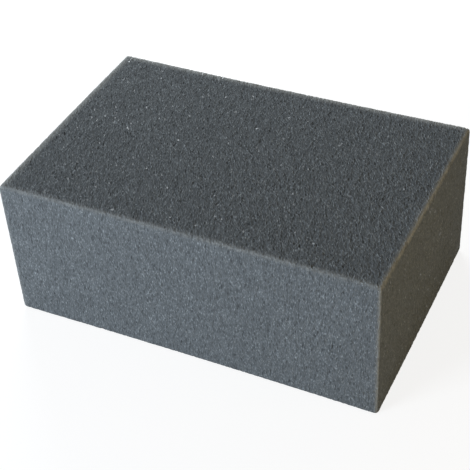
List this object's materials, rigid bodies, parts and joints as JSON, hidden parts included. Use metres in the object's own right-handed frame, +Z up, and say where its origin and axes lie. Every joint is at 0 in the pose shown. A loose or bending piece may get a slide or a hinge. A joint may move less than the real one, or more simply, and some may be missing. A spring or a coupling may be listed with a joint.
{
  "type": "grout sponge",
  "caption": "Rectangular block of charcoal open-cell foam with soft arrises and faintly hollow long sides, for wiping grout off tiles.",
  "frame": {"origin": "middle of the underside, at the centre of the block's bounding box in plan", "axes": "+X along the length, +Y to the back across the width, +Z up through the thickness"},
  "size_m": [0.2, 0.131, 0.081],
  "materials": {
    "foam": "open-cell polyurethane foam as sawn, quite matt, charcoal grey with paler cell edges"
  },
  "bodies": {
    "root": {"foam_block": "foam"}
  },
  "joints": []
}
